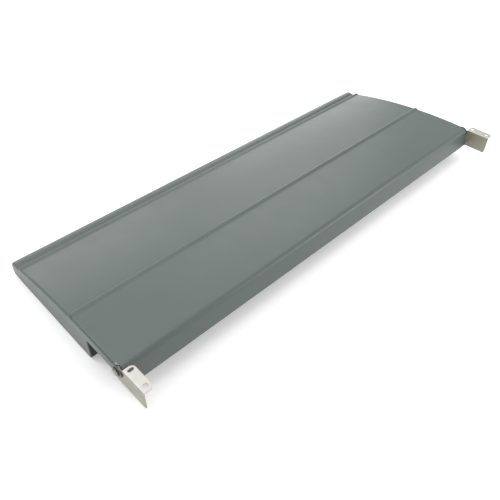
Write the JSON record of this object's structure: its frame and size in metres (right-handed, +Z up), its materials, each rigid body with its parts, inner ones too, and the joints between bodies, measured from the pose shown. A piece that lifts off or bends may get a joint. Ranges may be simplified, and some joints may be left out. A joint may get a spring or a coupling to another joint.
{
  "type": "deck plank",
  "caption": "Long hollow deck plank with a gently crowned painted top, an interlocking seam, a tongue along the rear edge and a hinged angle bracket at each front corner.",
  "frame": {"origin": "centre of the bounding box in plan, on the floor plane that the web and the rear wall stand on", "axes": "+X along the deck from the left to the right end cap, +Y from the front lip towards the rear tongue, +Z up"},
  "size_m": [1.0262, 0.4256, 0.0725],
  "materials": {
    "deck_paint": "grey-green satin powder coat",
    "inner_paint": "thin grey-green powder coat",
    "bracket_plating": "warm nickel-plated pressed steel",
    "fastener_plating": "bright zinc plate",
    "bush_nylon": "black nylon"
  },
  "bodies": {
    "deck": {"front_skin": "deck_paint", "rear_skin": "deck_paint", "front_web": "inner_paint", "seam_stringer": "inner_paint", "cross_rib_1": "inner_paint", "cross_rib_2": "inner_paint", "cross_rib_3": "inner_paint", "cross_rib_4": "inner_paint", "left_end_cap": "deck_paint", "right_end_cap": "deck_paint", "rib_rivets": "fastener_plating", "end_cap_rivets": "fastener_plating", "left_pivot_bolt": "fastener_plating", "left_head_washer": "bush_nylon", "left_pivot_bush": "bush_nylon", "left_nut_washer": "fastener_plating", "left_lock_nut": "fastener_plating", "right_pivot_bolt": "fastener_plating", "right_head_washer": "bush_nylon", "right_pivot_bush": "bush_nylon", "right_nut_washer": "fastener_plating", "right_lock_nut": "fastener_plating"},
    "left_arm": {"left_bracket": "bracket_plating"},
    "right_arm": {"right_bracket": "bracket_plating"}
  },
  "joints": [
    {"name": "left_bracket_tilt", "type": "hinge", "parent": "deck", "child": "left_arm", "pos_m": [-0.50435, -0.14775, 0.05929], "axis": [1, 0, 0], "range_deg": [-45, 30]},
    {"name": "right_bracket_tilt", "type": "hinge", "parent": "deck", "child": "right_arm", "pos_m": [0.49415, -0.14775, 0.05929], "axis": [1, 0, 0], "range_deg": [-45, 30]}
  ]
}
